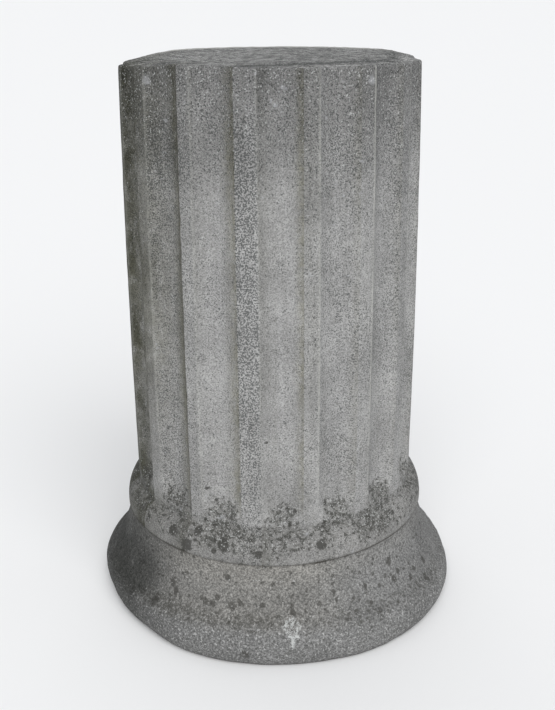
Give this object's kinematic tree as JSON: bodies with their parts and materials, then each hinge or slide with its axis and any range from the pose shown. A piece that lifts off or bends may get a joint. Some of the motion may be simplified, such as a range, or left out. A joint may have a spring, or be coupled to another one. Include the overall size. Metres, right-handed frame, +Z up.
{
  "type": "fluted stone column stub",
  "caption": "Short weathered stone column: a fluted round shaft with a roll moulding at its foot, flat on top, standing on a spreading round moulded base with a rounded lip.",
  "frame": {"origin": "centre of the base's underside, on the ground", "axes": "+Z up the column; the side seen in the picture faces -Y, and +X is to its right"},
  "size_m": [0.6518, 0.6518, 0.9426],
  "materials": {
    "shaft_stone": null,
    "base_stone": null
  },
  "bodies": {
    "root": {"shaft": "shaft_stone", "base": "base_stone"}
  },
  "joints": []
}
